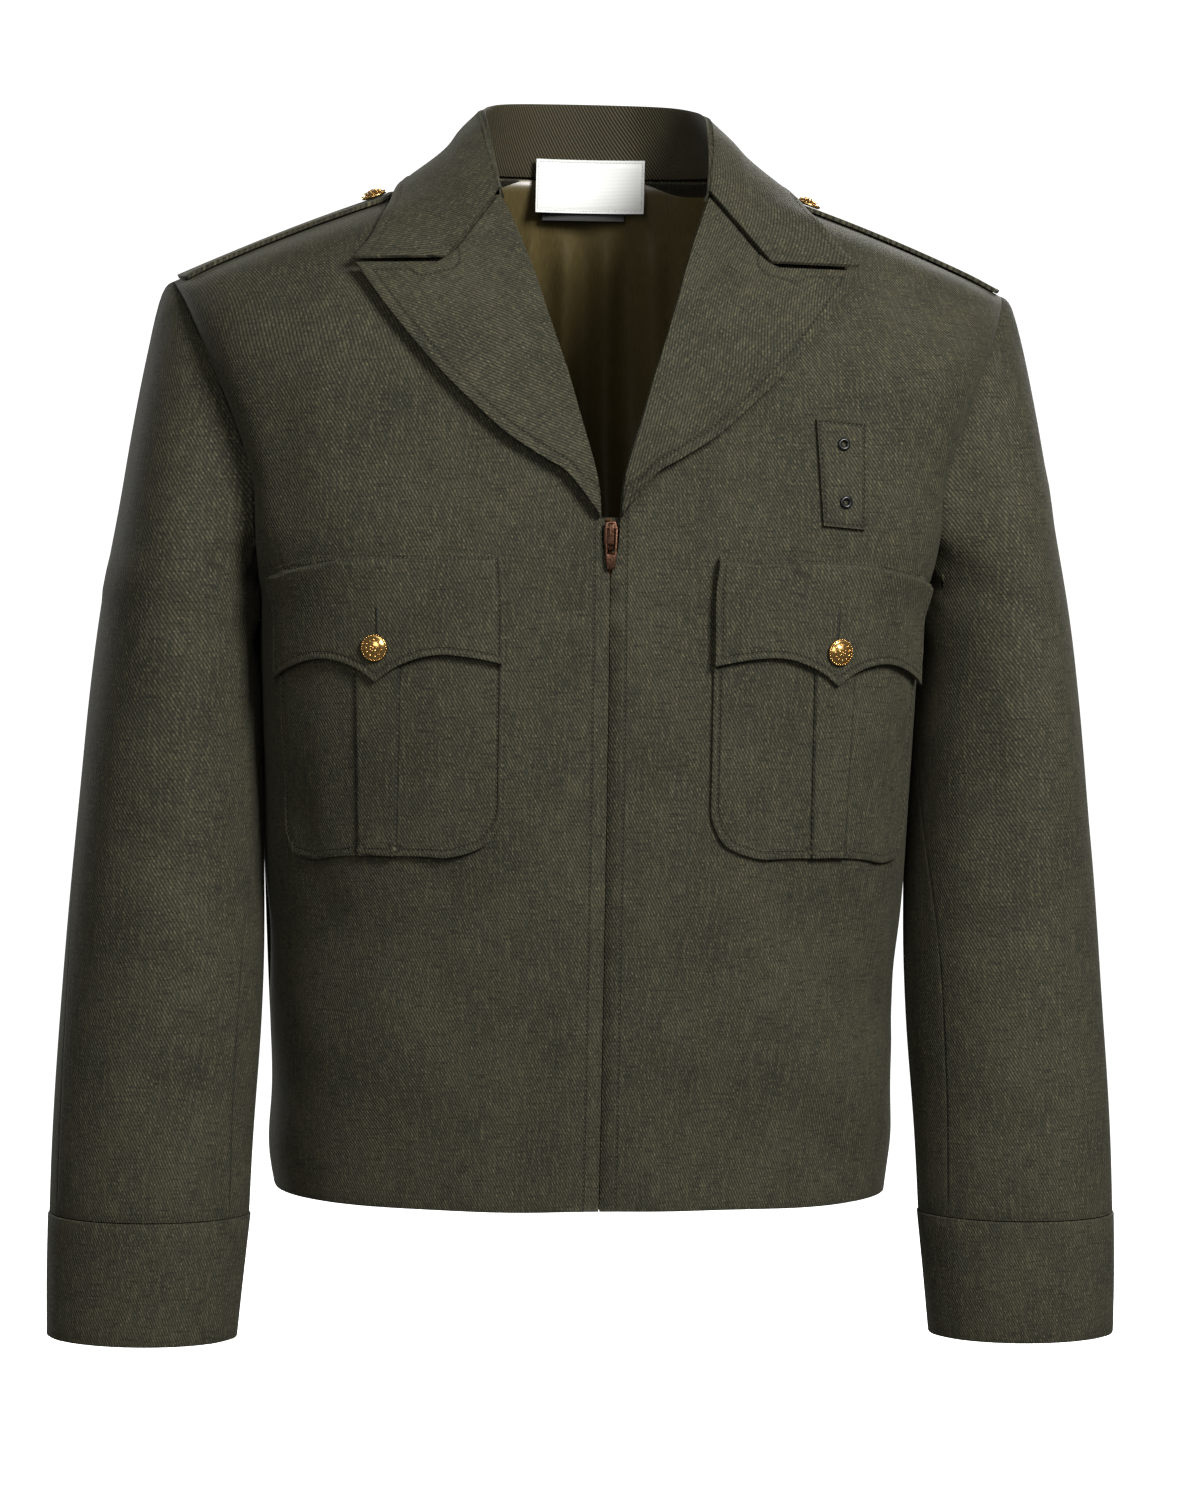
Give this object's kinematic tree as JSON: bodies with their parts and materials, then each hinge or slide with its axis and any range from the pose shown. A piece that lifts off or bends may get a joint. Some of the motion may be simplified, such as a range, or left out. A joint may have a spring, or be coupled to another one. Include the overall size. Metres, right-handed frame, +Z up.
{
  "type": "ike jacket",
  "caption": "Short olive uniform jacket with a zip front, peaked lapels, pleated breast pockets, shoulder straps and turned cuffs, filled out and open at neck, hem and cuffs.",
  "frame": {"origin": "between the shoulders at the height of the neck seam, where the wearer's shoulders carry the jacket", "axes": "+Z up, the jacket faces -Y, the wearer's left side is at +X"},
  "size_m": [0.6136, 0.2688, 0.7065],
  "materials": {
    "gabardine": "matt woven twill",
    "satin": "glossy lining satin",
    "label": "plain woven tape",
    "gilt": "polished gilt",
    "zip_copper": "antique copper plating",
    "black_eyelet": "black enamel"
  },
  "bodies": {
    "jacket": {"front_left": "gabardine", "front_right": "gabardine", "back": "gabardine", "top_sleeve_left": "gabardine", "top_sleeve_right": "gabardine", "under_sleeve_left": "gabardine", "under_sleeve_right": "gabardine", "cuff_left": "gabardine", "cuff_right": "gabardine", "collar": "gabardine", "lapel_left": "gabardine", "lapel_right": "gabardine", "pocket_left": "gabardine", "pocket_right": "gabardine", "pocket_flap_left": "gabardine", "pocket_flap_right": "gabardine", "epaulette_left": "gabardine", "epaulette_right": "gabardine", "badge_tab": "gabardine", "zip_tape": "gabardine", "lining_back": "satin", "neck_label": "label", "pocket_button_left": "gilt", "pocket_button_right": "gilt", "epaulette_button_left": "gilt", "epaulette_button_right": "gilt", "zip_chain": "zip_copper", "zip_stop": "zip_copper", "zip_slider": "zip_copper", "eyelet_upper": "black_eyelet", "eyelet_lower": "black_eyelet"},
    "pull_tab": {"zip_pull": "zip_copper"}
  },
  "joints": [
    {"name": "pull_tab_swing", "type": "hinge", "parent": "jacket", "child": "pull_tab", "pos_m": [0, -0.1374, -0.1955], "axis": [-1, 0, 0], "range_deg": [0, 150]}
  ]
}
